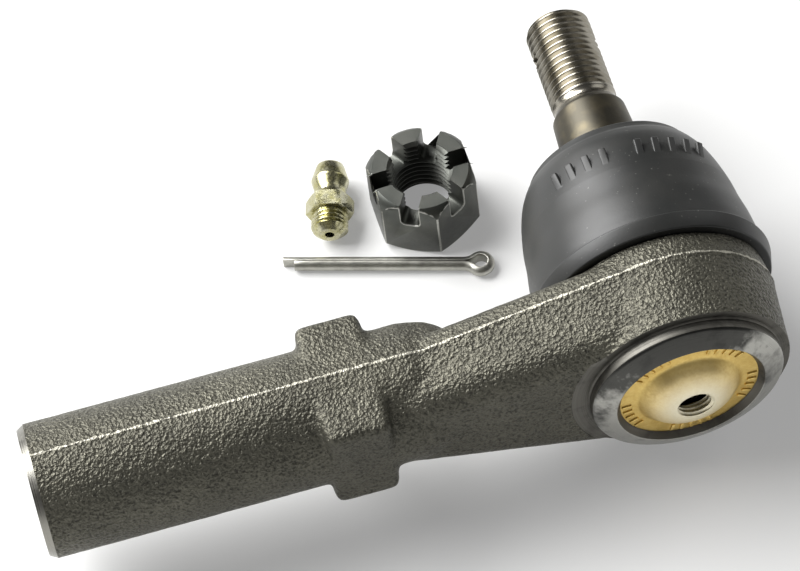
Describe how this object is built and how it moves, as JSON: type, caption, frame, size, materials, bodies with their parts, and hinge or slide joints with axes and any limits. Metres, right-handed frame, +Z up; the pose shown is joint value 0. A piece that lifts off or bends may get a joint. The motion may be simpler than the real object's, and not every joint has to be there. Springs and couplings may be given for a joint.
{
  "type": "tie rod end",
  "caption": "Ball-jointed tie rod end: forged shank and socket, tapered threaded stud, rubber dust boot, cover plate with grease port, loose castle nut, cotter pin and grease fitting.",
  "frame": {"origin": "centre of the ball, where the stud's and the shank's axes cross", "axes": "+Y along the stud towards its thread, -X along the shank out of its threaded end, +Z up; the part lies on its side on a level surface 25.3 mm below the ball centre"},
  "size_m": [0.1566, 0.0983, 0.0506],
  "materials": {
    "forging": "shot-blasted forged steel",
    "bearing": "moulded acetal",
    "spring_steel": "blue-grey spring steel",
    "yellow_zinc": "yellow zinc plated pressed steel",
    "stud_steel": "ground alloy steel",
    "boot_rubber": "satin moulded chloroprene rubber",
    "phosphate": "dark phosphated steel",
    "bright_zinc": "bright zinc plate"
  },
  "bodies": {
    "housing": {"housing": "forging", "upper_bearing": "bearing", "lower_bearing": "bearing", "preload_spring": "spring_steel", "cover_plate": "yellow_zinc", "boot_flange": "boot_rubber", "boot_retaining_ring": "spring_steel"},
    "boot_middle": {"boot_bell": "boot_rubber"},
    "boot_top": {"boot_neck": "boot_rubber", "neck_ring": "spring_steel"},
    "stud": {"ball_stud": "stud_steel"},
    "nut": {"castle_nut": "phosphate"},
    "pin": {"cotter_pin": "bright_zinc"},
    "fitting": {"grease_fitting_body": "bright_zinc", "grease_fitting_spring": "spring_steel"},
    "fitting_ball": {"grease_fitting_ball": "stud_steel"}
  },
  "joints": [
    {"name": "swing_across", "type": "hinge", "parent": "housing", "child": "boot_middle", "pos_m": [0, 0, 0], "axis": [1, 0, 0], "range_deg": [-20, 20], "deforming": ["boot_bell"]},
    {"name": "swing_along", "type": "hinge", "parent": "boot_middle", "child": "boot_top", "pos_m": [0, 0, 0], "axis": [0, 0, 1], "range_deg": [-20, 20], "deforming": ["boot_neck"]},
    {"name": "stud_spin", "type": "hinge", "parent": "boot_top", "child": "stud", "pos_m": [0, 0, 0], "axis": [0, 1, 0], "continuous": true},
    {"name": "nut_lift", "type": "slide", "parent": "housing", "child": "nut", "axis": [0, 0, 1], "range_m": [0, 0.06]},
    {"name": "pin_lift", "type": "slide", "parent": "housing", "child": "pin", "axis": [0, 0, 1], "range_m": [0, 0.06]},
    {"name": "fitting_lift", "type": "slide", "parent": "housing", "child": "fitting", "axis": [0, 0, 1], "range_m": [0, 0.06]},
    {"name": "fitting_ball_press", "type": "slide", "parent": "fitting", "child": "fitting_ball", "axis": [-0.2605, -0.9655, 0], "range_m": [0, 0.0008], "stiffness_N_per_m": 400, "springref_m": -0.002, "deforming": ["grease_fitting_spring"]}
  ]
}
